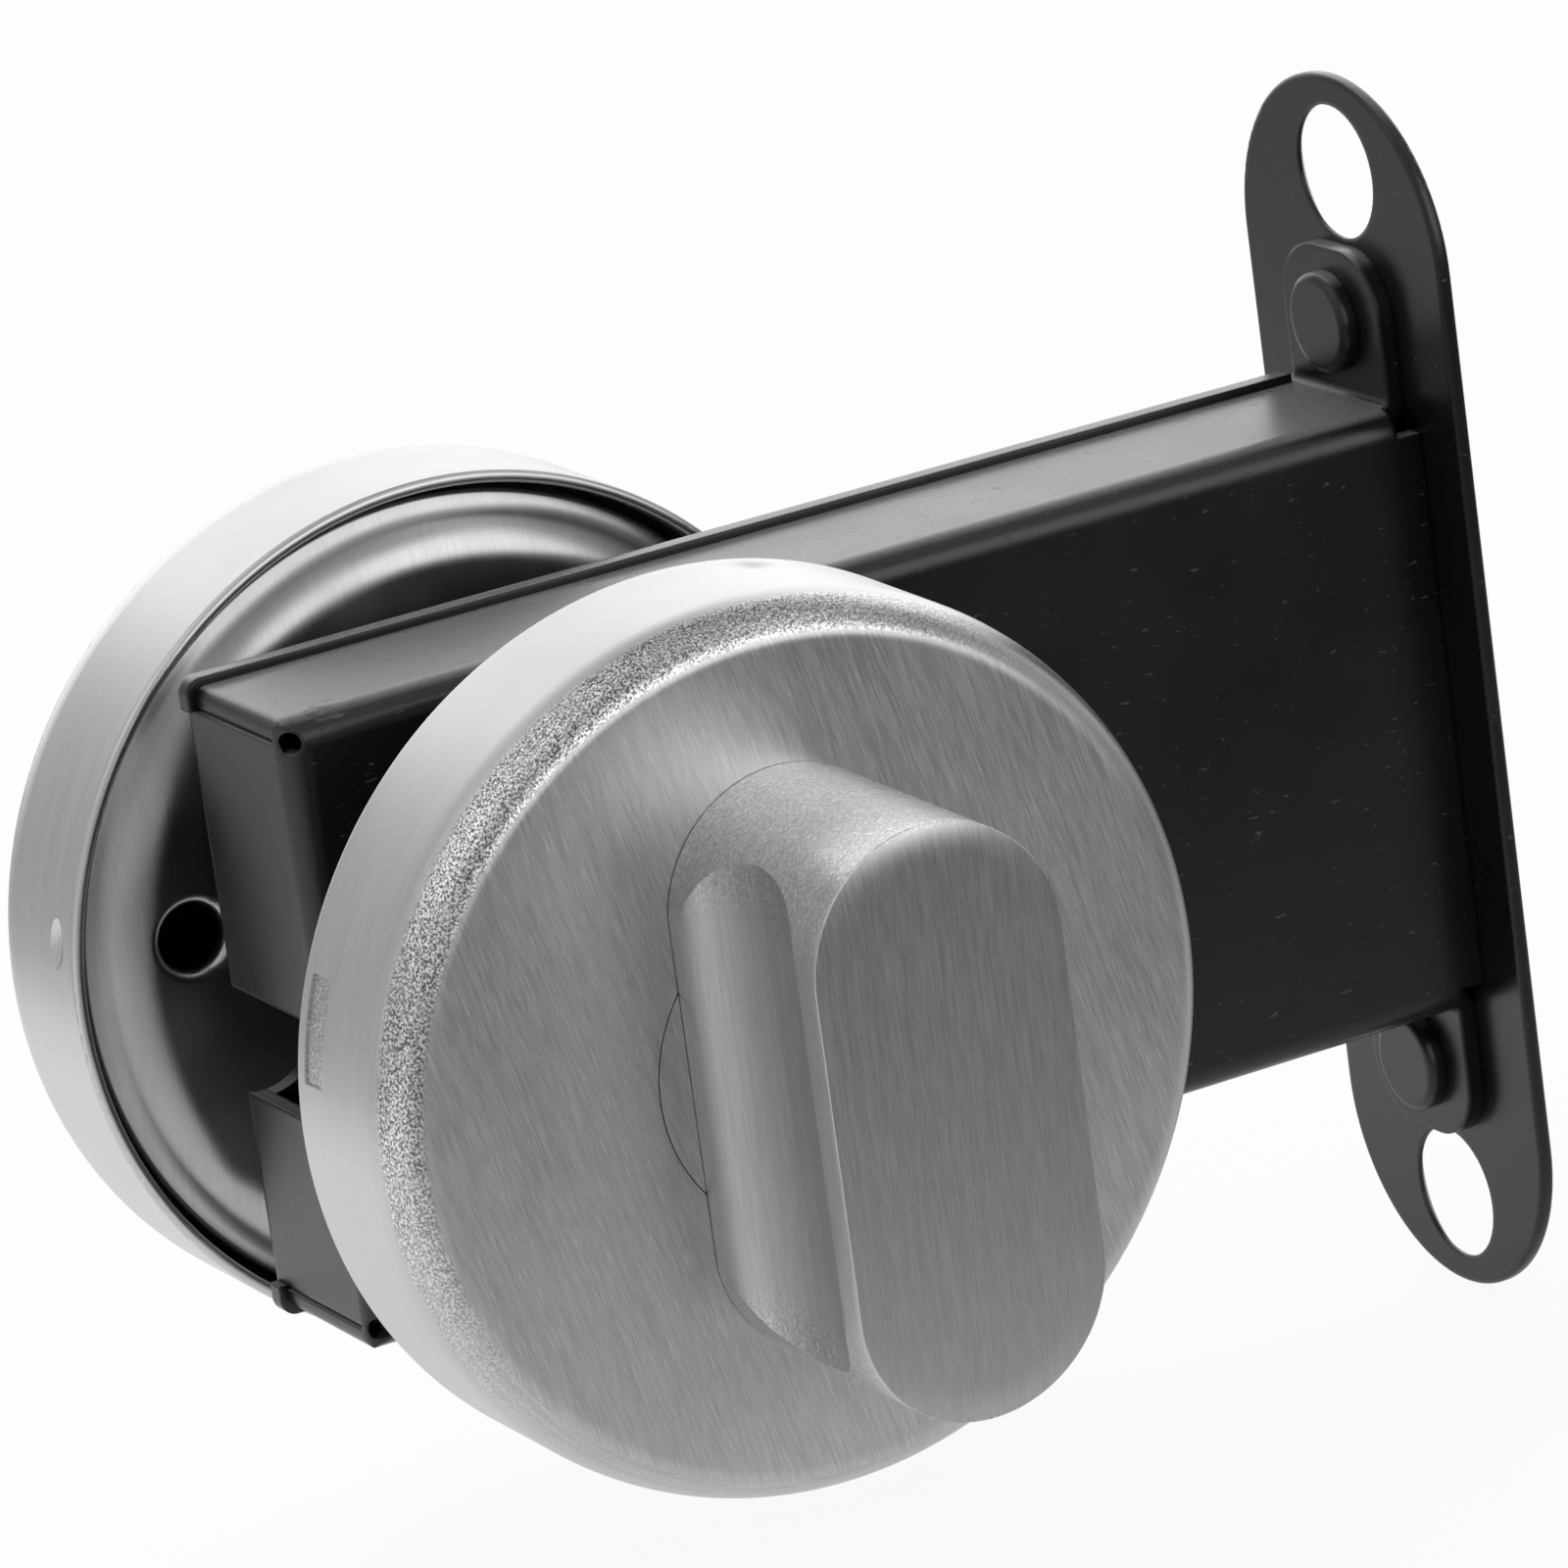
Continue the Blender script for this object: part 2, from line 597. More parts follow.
def knob_steel(look):
    """Brushed steel of the thumbturn: upright lines on its front, and lines round its sides and ends."""
    material, tree, shader, place = start_material("brushed_knob_steel")
    front_height, front_tone = brush_lines(tree, place, KNOB_FRONT_LINES)
    side_height, side_tone = brush_lines(tree, place, KNOB_SIDE_LINES)
    grain, bright, dark = sparkle(tree, place, KNOB_GRAIN)
    marks = handling(tree, place)
    apart = add(tree, "SeparateXYZ", {0: place}).outputs
    behind = step(tree, apart[1], *[KNOB_LOW.y + part for part in FRONT_SKIN])
    over = calc(tree, "ABSOLUTE", calc(tree, "SUBTRACT", apart[2], AXIS_Z))
    half = (KNOB_HIGH.z - KNOB_LOW.z) / 2
    ends = times(tree, step(tree, over, *inset(half, KNOB_ENDS)), behind)
    tone = add(tree, "Mix", {"Factor": behind, "A": front_tone, "B": side_tone}).outputs[0]
    colour = blend(tree, tone, *shades(look.colour, 0.92, 1.06))
    colour = blend(tree, times(tree, bright, ends, 0.6), colour, KNOB_BRIGHT)
    colour = blend(tree, times(tree, dark, ends, 0.35), colour, KNOB_DARK)
    colour = blend(tree, times(tree, marks["Speck"], 0.8), colour, DUST_ON_KNOB)
    lines = add(tree, "Mix", {"Factor": behind, "A": front_height, "B": side_height}).outputs[0]
    height = plus(tree, lines, times(tree, grain, ends))
    rough = plus(tree, look.rough - 0.06, times(tree, tone, 0.06), times(tree, ends, -0.05))
    normal = bump(tree, height, 0.005 * MM)
    put(tree, shader, Base_Color=colour, Metallic=1.0, Roughness=rough, Normal=normal)
    return material


def pressed_steel(name, colour, rough, line_scale, depth):
    """Plain rolled or plated steel, with faint rolling lines, smears and specks."""
    material, tree, shader, place = start_material(name)
    height, tone = brush_lines(tree, place, line_scale)
    marks = handling(tree, place)
    shade = blend(tree, tone, *shades(colour, 0.95, 1.04))
    shade = blend(tree, times(tree, marks["Smear"], 0.25), shade, [0.75 * c for c in colour])
    shade = blend(tree, times(tree, marks["Speck"], 0.6), shade, SPECK_ON_STEEL)
    roughness = plus(tree, rough - 0.05, times(tree, marks["Smear"], 0.12))
    normal = bump(tree, height, depth)
    put(tree, shader, Base_Color=shade, Metallic=1.0, Roughness=roughness, Normal=normal)
    return material


def black_paint(look):
    """Satin black paint on sheet steel: a faint orange peel, specks, dust on what faces up, edges that catch
    light, and scuffs at the upper rear corner."""
    material, tree, shader, place = start_material("satin_black_paint")
    marks = handling(tree, place)
    bare = worn_spot(tree, place)
    peel = noise(tree, place, 1500.0, 2.0, 0.5)
    broad = noise(tree, place, 260.0, 2.0, 0.5)
    dusty = step(tree, noise(tree, place, 2500.0, 3.0, 0.6), 0.2, 0.8, 0.7, 1.0)
    facing = add(tree, "SeparateXYZ", {0: add(tree, "NewGeometry").outputs["Normal"]}).outputs
    light = [min(1.0, 1.8 * c + 0.001) for c in look.colour]
    colour = blend(tree, times(tree, marks["Smear"], 0.6), look.colour, light)
    colour = blend(tree, times(tree, marks["Speck"], 0.3), colour, SPECK_ON_PAINT)
    colour = blend(tree, times(tree, step(tree, facing[2], 0.75, 0.98), dusty), colour, DUST_ON_PAINT)
    colour = blend(tree, bare, colour, WORN_PAINT)
    rough = plus(
        tree, look.rough - 0.03, times(tree, marks["Smear"], 0.06), times(tree, marks["Speck"], 0.2)
    )
    soft = add(tree, "Bevel", {"Radius": 0.4 * MM}, samples=6).outputs[0]
    height = plus(tree, times(tree, peel, 0.3), broad, times(tree, bare, -3.0))
    put(
        tree, shader, Base_Color=colour, Roughness=rough, Specular_IOR_Level=look.gloss,
        Normal=bump(tree, height, 0.008 * MM, soft),
    )
    return material


def plastic(name, colour, rough, through=0.0):
    """Moulded plastic with a fine surface, or a clear one where light passes through."""
    material, tree, shader, place = start_material(name)
    marks = handling(tree, place)
    fine = noise(tree, place, 2600.0, 2.0, 0.6)
    shade = blend(tree, times(tree, marks["Smear"], 0.2), colour, [0.85 * c for c in colour])
    roughness = plus(tree, rough, times(tree, marks["Scratch"], 0.1))
    put(
        tree, shader, Base_Color=shade, Roughness=roughness, Transmission_Weight=through, IOR=1.49,
        Normal=bump(tree, fine, 0.003 * MM),
    )
    return material


def dress(material, *nodes):
    """Gives CAD nodes a finish, in their own material slot."""
    for name in nodes:
        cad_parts[name].material_slots[0].material = material


# Surfaces


def ring_place(radius, y, turn):
    """Points at a radius and a turn about the spindle, at a place along it."""
    return np.stack(np.broadcast_arrays(
        AXIS_X + radius * np.cos(turn), y, AXIS_Z + radius * np.sin(turn)
    ), axis=-1)


def rose_section(sizes):
    """Closed section of the drawn cup as radius and depth in front of the door: from the collar's hole along
    the face, by a quarter of an ellipse to the rim, down it, round its lip and back along the inside."""
    high, edge, wall, small = NEAR_DOOR - NEAR_FACE, sizes.edge, sizes.wall, sizes.break_edge
    hole = (COLLAR_HIGH.x - COLLAR_LOW.x) / 2 - COLLAR_SHOULDER + sizes.hole_play
    lip, inner, wide = wall / 2, edge - wall, sizes.edge_wide
    rim = dense(
        lip, high - edge, 24,
        *[(sizes.mark_place + s * sizes.mark_wide / 2, 0.1 * MM, 9) for s in (-1, 1)],
        (sizes.dent_place, sizes.dent_wide * 1.3, 23),
    )[::-1]
    return np.concatenate([
        arc((hole + small, high - small), small, 180, 90, 6),
        np.stack([np.linspace(hole + 2 * small, ROSE_R - wide, 30), np.full(30, high)], axis=1)[1:-1],
        arc((0, 0), 1, 90, 0, 28) * (wide, edge) + (ROSE_R - wide, high - edge),
        np.stack([np.full(rim.size, ROSE_R), rim], axis=1)[1:-1],
        arc((ROSE_R - lip, lip), lip, 0, -180, 14),
        arc((ROSE_R - edge, high - edge), inner, 0, 90, INNER_POINTS),
        [[hole, high - wall]],
    ])


def rose_surface(sizes):
    """The cup, turned about the spindle: each point of the section goes round at its radius, less the depth
    of the snap dents, which are round humps, and of the flat recess on the rim. Gives the grid of points
    and the share of the recess at each."""
    section = rose_section(sizes)
    long = sizes.mark_long / 2 / ROSE_R
    dents = sizes.dent_angle + np.array([0, np.pi])
    turn = dense(
        0, 2 * np.pi, 241,
        *[(a, 1.3 * sizes.dent_long / ROSE_R, 33) for a in dents],
        *[(sizes.mark_angle + s * long, 0.1 * MM / ROSE_R, 9) for s in (-1, 1)],
        (sizes.mark_angle, long, 25),
    )[:-1]
    radius, depth = section[:, :1], section[:, 1:]
    outside = np.arange(len(section)) < len(section) - INNER_POINTS - 1
    on_rim = (outside & (section[:, 0] > ROSE_R - sizes.wall))[:, None]
    apart = np.stack([np.abs((turn - a + np.pi) % (2 * np.pi) - np.pi) for a in dents]).min(axis=0) * ROSE_R
    hump = bump_of(np.hypot(apart / sizes.dent_long, (depth - sizes.dent_place) / sizes.dent_wide))
    soft = 0.05 * MM
    recess = plateau((turn - sizes.mark_angle) * ROSE_R, sizes.mark_long / 2, soft)
    recess = recess * plateau(depth - sizes.mark_place, sizes.mark_wide / 2, soft)
    sunk = np.where(on_rim, sizes.dent_depth * hump + sizes.mark_depth * recess, 0)
    return ring_place(radius - sunk, NEAR_DOOR - depth, turn), np.where(on_rim, recess, 0)


def plate_fall(sizes):
    """Radii from a pressed plate's flat middle to its edge and the depth behind the door at each. The slope
    is a broken line over the radius, up to the shoulder's and back to the ring's, and the depth its sum."""
    end = (PLATE_HIGH.x - PLATE_LOW.x) / 2 - sizes.edge * (1 - math.sin(math.atan(sizes.ring_slope)))
    radius = np.linspace(sizes.middle, end, 61)
    bends = sizes.middle + np.array([0, sizes.shoulder, sizes.shoulder + sizes.foot])
    slope = np.interp(radius, bends, [0, sizes.shoulder_slope, sizes.ring_slope])
    return radius, np.concatenate([[0], np.cumsum((slope[1:] + slope[:-1]) / 2 * np.diff(radius))])


def plate_section(sizes, start):
    """Half section of a plate outside a radius, as radius and depth behind the door: down the shoulder
    and the ring, by an arc to the skirt, and back along the inside at the sheet's thickness."""
    edge, sheet = sizes.edge, sizes.sheet
    outer, skirt = (PLATE_HIGH.x - PLATE_LOW.x) / 2, PLATE_HIGH.y - PLATE_LOW.y
    lean = math.atan(sizes.ring_slope)
    face = np.stack(plate_fall(sizes), axis=1)
    face = face[face[:, 0] > start + 0.02 * MM]
    middle = (outer - edge, face[-1, 1] + edge * math.cos(lean))
    inside = face[::-4][face[::-4, 0] < outer - 1.2 * sheet] + [0, sheet]
    return np.concatenate([
        face, arc(middle, edge, math.degrees(lean) - 90, 0, 9)[1:],
        [[outer, skirt], [outer - sheet, skirt], [outer - sheet, inside[0, 1] + sheet]], inside,
    ])


def plate_shells(sizes, door, way, first):
    """A pressed plate on a door face, whose depth runs the way of +Y or -Y: a grid inside and one outside the
    circle that both screw holes stand on, and a tube for each hole. At a turn t from a hole of radius h at a
    place p the grids part at the radii p cos t -+ sqrt(h^2 - (p sin t)^2), and past the hole they meet. Round
    a hole the face falls by the quarter circle of its flare."""
    place, hole, flare = sizes.fixing_place, sizes.fixing_r, sizes.fixing_flare
    span = math.asin(hole / place)
    across = np.concatenate([
        span * np.sin(np.linspace(-np.pi / 2, np.pi / 2, 41)),
        *[s * (span + np.linspace(0, flare / place, 9)) for s in (-1, 1)],
    ])
    turn = np.unique(np.round(np.concatenate([
        np.linspace(-np.pi / 2, np.pi * 3 / 2, 181)[:-1], across, across + np.pi,
    ]), 9))
    off = np.abs((turn + np.pi / 2) % np.pi - np.pi / 2)
    in_hole = off < span - TINY
    half = np.sqrt(np.where(in_hole, hole ** 2 - (place * np.sin(off)) ** 2, 0))
    parting = place * np.cos(np.minimum(off, span))
    near, far = parting - half, parting + half

    def at(radius, depth):
        return ring_place(radius, door + way * depth, turn + first)

    def steps(reach, count):
        bend = flare * (1 - np.cos(np.linspace(0, np.pi / 2, 9)))
        return np.concatenate([bend, np.linspace(flare, reach, count)[1:]])[:, None] / reach

    def flared(radius):
        away = np.hypot(radius * np.cos(off) - place, radius * np.sin(off)) - hole
        return flare - np.sqrt(flare ** 2 - np.clip(flare - away, 0, flare) ** 2)

    start = place + hole + 0.2 * MM
    inner = near - (near - sizes.bore) * steps(11.0 * MM, 14)
    outer = far + (start - far) * steps(2.4 * MM, 6)
    fall = np.interp(outer, *plate_fall(sizes))
    section = plate_section(sizes, start)
    radius, depth = section[:, :1], section[:, 1:]
    faces_door = depth < np.interp(radius, *plate_fall(sizes)) + sizes.sheet / 2
    inside = np.concatenate([at(inner, flared(inner)), at(inner[::-1], sizes.sheet)])
    outside = np.concatenate([
        at(outer, fall + flared(outer)), at(radius, depth + np.where(faces_door, flared(radius), 0)),
        at(outer[::-1], fall[::-1] + sizes.sheet),
    ])
    shells = [(inside, False, True), (outside, False, True)]
    for hole_turn in (0.0, np.pi):
        held = np.abs(turn - hole_turn) <= span + TINY
        loops = [np.concatenate([outside[row, held], inside[row, held][::-1]]) for row in (0, -1)]
        shells.append((np.stack(loops), False, True))
    return shells


def knob_surface(sizes):
    """The bar, in rows from its base to its front and columns round its outline: two sides at a half width
    w(h) = R - g(h), where g is the depth of the finger groove's arc at a height h, rounded where it meets
    the flats, and two end arcs of radius R between them. The rows on the front edge are drawn in by its
    rounding, and the last rows close the base and the front to the line along the middle. Near its ends
    the front falls by d (1 - e / r)^2 at a distance e from its edge."""
    high = KNOB_BASE - KNOB_LOW.y
    wide, half = (KNOB_HIGH.x - KNOB_LOW.x) / 2, (KNOB_HIGH.z - KNOB_LOW.z) / 2
    straight = half - wide
    span = high - sizes.groove_base - sizes.groove_front
    bow = (span ** 2 / 4 + sizes.groove_depth ** 2) / (2 * sizes.groove_depth)
    groove_middle = sizes.groove_base + span / 2
    body = dense(
        0, high - sizes.front_edge - sizes.roll_depth, 40,
        (groove_middle - span / 2, 1.2 * MM, 31), (groove_middle + span / 2, 0.3 * MM, 25),
    )
    bend = np.radians(np.linspace(0, 90, 8))
    count_base, count_front = 6, 24
    zero = np.zeros(count_base)
    height = np.concatenate([zero, body, np.full(bend.size + count_front, high)])
    on_front = (np.arange(height.size) >= count_base + body.size)[:, None]
    rolled = np.concatenate([zero, 0 * body, bend, np.full(count_front, np.pi / 2)])[:, None]
    shrink = np.concatenate([
        np.linspace(0, 1, count_base, endpoint=False), np.ones(body.size + bend.size),
        1 - np.linspace(0, 1, count_front + 1)[1:] ** 1.9,
    ])[:, None]
    away = height - groove_middle
    bare = np.sqrt(bow ** 2 - away ** 2) - (bow - sizes.groove_depth)
    soft = np.where(away < 0, sizes.groove_soft, sizes.groove_crisp)
    side = wide - (bare + np.sqrt(bare ** 2 + soft ** 2))[:, None] / 2
    open_angle = np.arccos(np.clip(side / wide, -1, 1))
    along = np.linspace(-1, 1, 41)
    over = np.linspace(0, 1, 65)[1:-1]
    reach = straight + wide * np.sin(open_angle)
    x_side, z_side = side + 0 * along, reach * along
    swing = open_angle + (np.pi - 2 * open_angle) * over
    x_end, z_end = wide * np.cos(swing), straight + wide * np.sin(swing)
    x = np.concatenate([x_side, x_end, -x_side, -x_end], axis=1)
    z = np.concatenate([z_side, z_end, -z_side, -z_end], axis=1)
    out_x = np.concatenate([1 + 0 * x_side, np.cos(swing), -1 + 0 * x_side, -np.cos(swing)], axis=1)
    out_z = np.concatenate([0 * x_side, np.sin(swing), 0 * x_side, -np.sin(swing)], axis=1)
    tip = np.sin(np.pi * over) ** 2
    near_end = np.concatenate([0 * along, tip, 0 * along, tip])
    fall = sizes.roll_depth * near_end * np.clip(1 - (1 - shrink) * wide / sizes.roll_reach, 0, 1) ** 2
    lowered = np.where(on_front, sizes.front_edge * (1 - np.sin(rolled)) + fall, 0)
    drawn = sizes.front_edge * (1 - np.cos(rolled))
    x, z = x - out_x * drawn, z - out_z * drawn
    middle = np.clip(z, -straight, straight)
    x, z = x * shrink, middle + (z - middle) * shrink
    return np.stack([AXIS_X + x, KNOB_BASE - height[:, None] + lowered + 0 * x, AXIS_Z + z], axis=-1)


def stem_surface(sizes):
    """The stem behind the bar, turned about the spindle with a groove for its circlip, and with the square
    socket, whose radius at a turn t is half its width over max(|cos t|, |sin t|)."""
    turn = np.linspace(0, 2 * np.pi, 97)[:-1]
    square = sizes.socket / 2 / np.maximum(np.abs(np.cos(turn)), np.abs(np.sin(turn)))
    start, end = KNOB_BASE - 1 * MM, KNOB_HIGH.y
    clip = (CLIP_LOW.y, CLIP_HIGH.y)
    floor_y = SPINDLE_LOW.y - SOCKET_PLAY
    groove = sizes.stem - CLIP_GROOVE
    rows = [
        (0, start), (sizes.stem, start), (sizes.stem, clip[0]), (groove, clip[0]), (groove, clip[1]),
        (sizes.stem, clip[1]), (sizes.stem, end), (square, end), (square, floor_y), (0, floor_y),
    ]
    return np.stack([ring_place(radius + 0 * turn, y, turn) for radius, y in rows])


class BOLT_OT_case(Operator):
    """Paints the folded case, its cover, the forend and its rivets"""

    bl_idname = "bolt.case"
    bl_label = "Case and Forend"

    def execute(self, context):
        paint = black_paint(context.scene.bolt_paint)
        dress(paint, "case_tray", "case_cover", "forend_plate", "forend_rivets")
        return {"FINISHED"}


class BOLT_OT_roses(Operator):
    """Brushes both roses' covers and the collar, and finishes their fixing plates"""

    bl_idname = "bolt.roses"
    bl_label = "Roses"

    def execute(self, context):
        look = context.scene.bolt_steel
        sizes = context.scene.bolt_rose
        steel = rose_steel(look, "brushed_rose_steel", look.turn)
        grid, recess = rose_surface(sizes)
        cover = make_piece("rose_cover_drawn", [(grid, True, True)], recess=recess)
        cover.data.materials.append(steel)
        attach(cover, "lock")
        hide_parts("inside_rose_cover")
        dress(steel, "outside_rose_cover", "turn_collar")
        plate_steel = pressed_steel("pressed_plate_steel", look.inner, 0.31, PLATE_LINES, 0.002 * MM)
        pressed = context.scene.bolt_plate
        sides = (("inside", NEAR_DOOR, -1, 0.0), ("outside", FAR_DOOR, 1, pressed.outside_turn))
        for side, door, way, turn in sides:
            plate = make_piece(side + "_plate_pressed", plate_shells(pressed, door, way, turn))
            plate.data.materials.append(plate_steel)
            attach(plate, "lock")
            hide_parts(side + "_rose_plate")
        return {"FINISHED"}


class BOLT_OT_thumbturn(Operator):
    """Brushes the thumbturn"""

    bl_idname = "bolt.thumbturn"
    bl_label = "Thumbturn"

    def execute(self, context):
        sizes = context.scene.bolt_knob
        shells = [(knob_surface(sizes), False, True), (stem_surface(sizes), False, True)]
        knob = make_piece("thumbturn_ground", shells, sharp=24.0)
        knob.data.materials.append(knob_steel(context.scene.bolt_steel))
        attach(knob, "turn")
        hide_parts("thumbturn_knob")
        return {"FINISHED"}


class BOLT_OT_mechanism(Operator):
    """Finishes the bolt, its drive and the small fixings inside"""

    bl_idname = "bolt.mechanism"
    bl_label = "Bolt and Drive"

    def execute(self, context):
        look = context.scene.bolt_steel
        bolt = pressed_steel("plated_bolt_steel", (0.55, 0.54, 0.52), 0.28, BOLT_LINES, 0.003 * MM)
        dress(bolt, "deadbolt")
        small = pressed_steel("turned_steel", look.inner, 0.34, TURNED_LINES, 0.003 * MM)
        dress(
            small, "case_pillars", "cover_screws", "guide_post", "detent_spring", "follower", "drive_pin",
            "spindle", "knob_circlip", "grub_screw", "release_circlip",
        )
        dress(plastic("washer_plastic", (0.8, 0.79, 0.76), 0.42), "thrust_washer")
        return {"FINISHED"}


class BOLT_OT_indicator(Operator):
    """Finishes the indicator's window, disc and films, and the coin release"""

    bl_idname = "bolt.indicator"
    bl_label = "Indicator"

    def execute(self, context):
        look = context.scene.bolt_steel
        dress(plastic("window_plastic", (0.97, 0.98, 0.98), 0.05, 1.0), "window_lens")
        dress(plastic("disc_plastic", (0.012, 0.012, 0.012), 0.4), "indicator_disc")
        dress(plastic("vacant_green", (0.02, 0.26, 0.06), 0.35), "vacant_film")
        dress(plastic("engaged_red", (0.5, 0.015, 0.012), 0.35), "engaged_film")
        release = pressed_steel("turned_release_steel", look.colour, 0.33, RELEASE_LINES, 0.004 * MM)
        dress(release, "release_turn")
        return {"FINISHED"}


def stage_plane(name, reach, height):
    """A level square card about the origin."""
    mesh = bpy.data.meshes.new(name)
    corners = [(x * reach, y * reach, height) for x, y in ((-1, -1), (1, -1), (1, 1), (-1, 1))]
    mesh.from_pydata(corners, [], [(0, 1, 2, 3)])
    card = bpy.data.objects.new(name, mesh)
    bpy.context.scene.collection.objects.link(card)
    return card


def lamp(name, target, place, size, power):
    """A soft box that faces a target, with its power in watts."""
    data = bpy.data.lights.new(name, "AREA")
    data.shape = "RECTANGLE"
    data.size, data.size_y = size
    data.energy = power
    light = bpy.data.objects.new(name, data)
    light.location = place
    light.rotation_euler = (Vector(target) - Vector(place)).to_track_quat("-Z", "Y").to_euler()
    light.visible_glossy = False
    bpy.context.scene.collection.objects.link(light)


def mirror_only(piece, material):
    """Leaves a piece of the stage to reflections alone."""
    piece.data.materials.append(material)
    for ray in ("camera", "diffuse", "shadow", "transmission", "volume_scatter"):
        setattr(piece, "visible_" + ray, False)


def glow(name, fill):
    """A material that only gives off light, whose strength fill works out from the place."""
    material, tree = blank(name)
    apart = add(tree, "SeparateXYZ", {0: add(tree, "TexCoord").outputs["Object"]}).outputs
    show(tree, add(tree, "Emission", {"Color": WHITE, "Strength": fill(tree, apart)}))
    return material


def toward(tree, apart, way):
    """The product of a place with a direction."""
    return plus(tree, *[times(tree, apart[k], way[k]) for k in range(3) if way[k]])


def seen_direct(tree):
    """1 for what the camera, a mirror or glass sees, and 0 for light that only falls on things."""
    path = add(tree, "LightPath")
    seen = calc(tree, "MAXIMUM", path.outputs["Is Camera Ray"], path.outputs["Is Glossy Ray"])
    return calc(tree, "MAXIMUM", seen, path.outputs["Is Transmission Ray"])


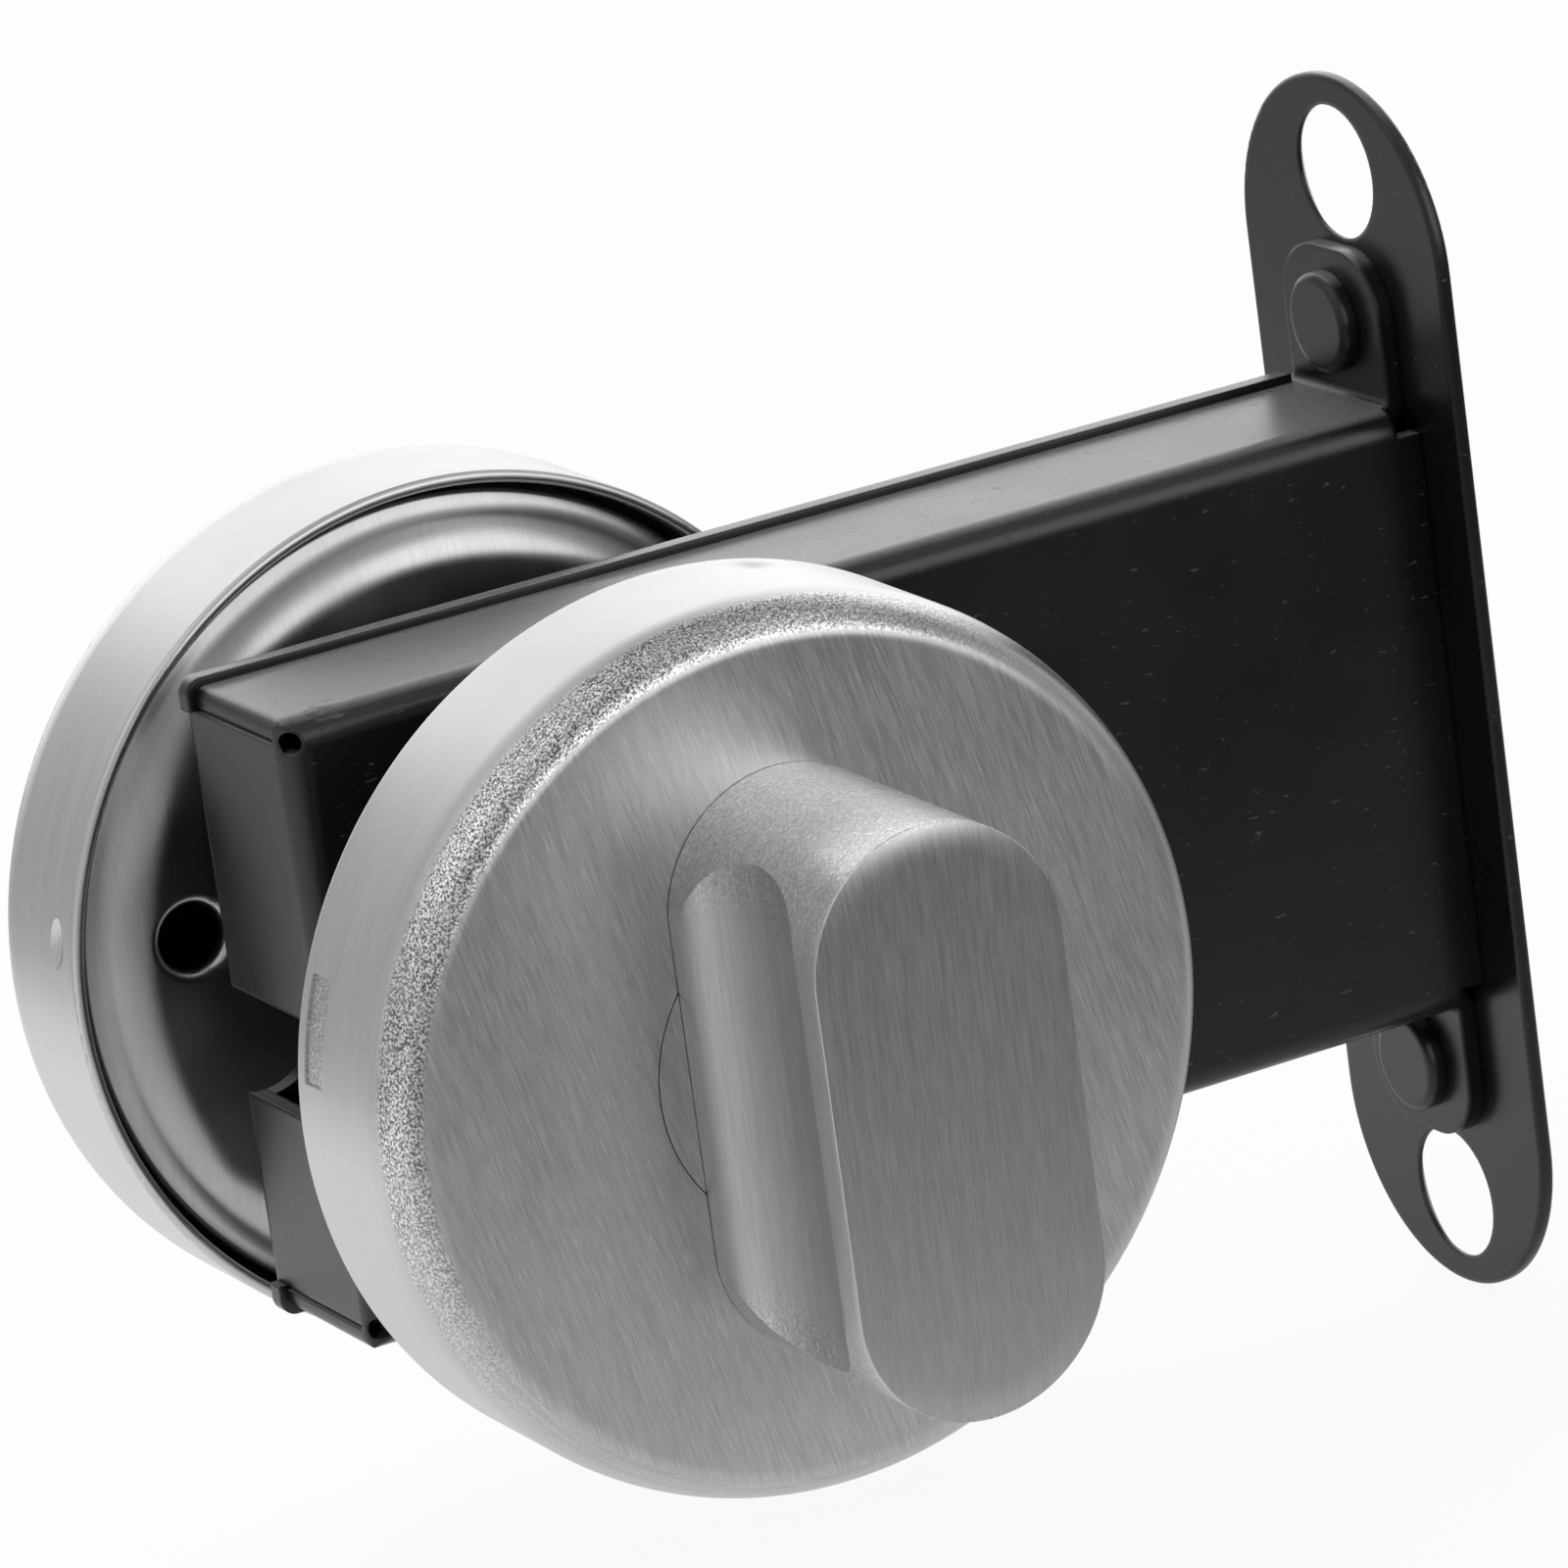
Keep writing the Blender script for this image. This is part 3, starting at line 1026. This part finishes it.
class BOLT_OT_stage(Operator):
    """Sets the pale floor, the light tent, the soft boxes, the white surround and the camera"""

    bl_idname = "bolt.stage"
    bl_label = "Stage"

    def execute(self, context):
        scene = context.scene
        stage = scene.bolt_stage
        scene.view_settings.view_transform = "Standard"
        self.floor()
        self.tent()
        self.surround(scene)
        self.lights()
        self.camera(scene, stage)
        return {"FINISHED"}

    def floor(self):
        """A matt floor that is white to the eye and in mirrors, and keeps the object's shadow."""
        material, tree = blank("pale_floor")
        matt = add(tree, "BsdfDiffuse", {"Color": FLOOR_PALE}).outputs[0]
        white = add(tree, "Emission", {"Color": WHITE, "Strength": 1.0}).outputs[0]
        seen = times(tree, seen_direct(tree), FLOOR_GLOW)
        show(tree, add(tree, "MixShader", {0: seen, 1: matt, 2: white}))
        stage_plane("stage_floor", FLOOR_REACH, FLOOR_Z).data.materials.append(material)

    def tent(self):
        """A light tent and a card on the floor that only reflections show: panels behind and in front, soft
        patches overhead and at the left, and a floor that is dark in front and bright behind."""
        turn, rise = np.meshgrid(
            np.linspace(0, 2 * np.pi, 65)[:-1], np.linspace(-0.1, np.pi / 2, 24), indexing="ij"
        )
        level = np.cos(rise)
        dome = TENT_REACH * np.stack([np.cos(turn) * level, np.sin(turn) * level, np.sin(rise)], axis=-1)
        tent = make_piece("stage_tent", [(dome, True, False)])

        def panels(tree, apart):
            high = apart[2]
            flat = calc(tree, "SQRT", calc(tree, "SUBTRACT", 1.0, times(tree, high, high)))
            flat = calc(tree, "MAXIMUM", flat, 0.05)
            total = TENT_LEVEL
            for way, narrow, low, top, light in TENT_PANELS:
                across = calc(tree, "DIVIDE", toward(tree, apart, way), flat)
                panel = times(
                    tree, step(tree, high, *low), step(tree, high, *top, 1.0, 0.0),
                    step(tree, across, *narrow), light,
                )
                total = plus(tree, total, panel)
            for way, wide, light in TENT_PATCHES:
                total = plus(tree, total, step(tree, toward(tree, apart, way), *wide, 0.0, light))
            return total

        def fade(tree, apart):
            place = toward(tree, apart, CARD_WAY)
            bright = times(tree, step(tree, place, *CARD_RISE), step(tree, place, *CARD_FADE))
            return plus(tree, CARD_LEVEL, bright)

        mirror_only(tent, glow("tent_panels", panels))
        card = stage_plane("stage_card", TENT_REACH, FLOOR_Z + FLOOR_GAP)
        mirror_only(card, glow("floor_card", fade))

    def surround(self, scene):
        """A world that is white to the eye and in mirrors, and gives a plain light."""
        world = bpy.data.worlds.new("white_surround")
        scene.world = world
        world.use_nodes = True
        tree = world.node_tree
        tree.nodes.clear()
        strength = step(tree, seen_direct(tree), 0.0, 1.0, WORLD_LIGHT, 1.0)
        show(tree, add(tree, "Background", {"Color": WHITE, "Strength": strength}), "World")

    def lights(self):
        """Two soft boxes, over and left of the object."""
        target = (AXIS_X, 0.0, 0.0)
        lamp("over_box", target, place=(-0.15, 0.35, 0.8), size=(0.7, 0.5), power=3.2)
        lamp("left_box", target, place=(-0.85, 0.25, 0.3), size=(0.5, 0.6), power=2.0)

    def camera(self, scene, stage):
        """A camera at the photograph's place, with its roll."""
        turn, height, roll = -stage.turn, stage.height, -stage.roll
        back = Vector((
            math.sin(turn) * math.cos(height), -math.cos(turn) * math.cos(height), math.sin(height)
        ))
        right = (-back).cross(Vector((0, 0, 1))).normalized()
        up = right.cross(-back)
        right, up = (
            right * math.cos(roll) + up * math.sin(roll),
            up * math.cos(roll) - right * math.sin(roll),
        )
        data = bpy.data.cameras.new("photo_camera")
        data.sensor_width = 36.0
        data.lens = stage.lens
        data.clip_start = 0.01
        camera = bpy.data.objects.new("photo_camera", data)
        axes = Matrix((right, up, back)).transposed().to_4x4()
        camera.matrix_world = Matrix.Translation(Vector(stage.aim) + back * stage.distance) @ axes
        scene.collection.objects.link(camera)
        scene.camera = camera


class BOLT_PT_panel(Panel):
    """Lists the pieces' operators"""

    bl_label = "Indicator Bolt"
    bl_idname = "BOLT_PT_panel"
    bl_space_type = "VIEW_3D"
    bl_region_type = "UI"
    bl_category = "Indicator Bolt"

    def draw(self, context):
        for piece in PIECES:
            self.layout.operator(piece.bl_idname)


PIECES = (
    BOLT_OT_case, BOLT_OT_roses, BOLT_OT_thumbturn, BOLT_OT_mechanism, BOLT_OT_indicator, BOLT_OT_stage,
)
SETTINGS = {
    "bolt_rose": RoseSizes, "bolt_plate": PlateSizes, "bolt_knob": KnobSizes, "bolt_steel": SteelFinish,
    "bolt_paint": PaintFinish, "bolt_stage": StageSettings,
}


def register():
    for kind in (*SETTINGS.values(), *PIECES, BOLT_PT_panel):
        bpy.utils.register_class(kind)
    for name, kind in SETTINGS.items():
        setattr(bpy.types.Scene, name, PointerProperty(type=kind))


def unregister():
    for name in SETTINGS:
        delattr(bpy.types.Scene, name)
    for kind in (BOLT_PT_panel, *reversed(PIECES), *SETTINGS.values()):
        bpy.utils.unregister_class(kind)


def main():
    """Makes every piece in order and writes both boxes, of the solids and of the finished object."""
    register()
    for piece in PIECES:
        family, name = piece.bl_idname.split(".")
        getattr(getattr(bpy.ops, family), name)()


if __name__ == "__main__":
    main()
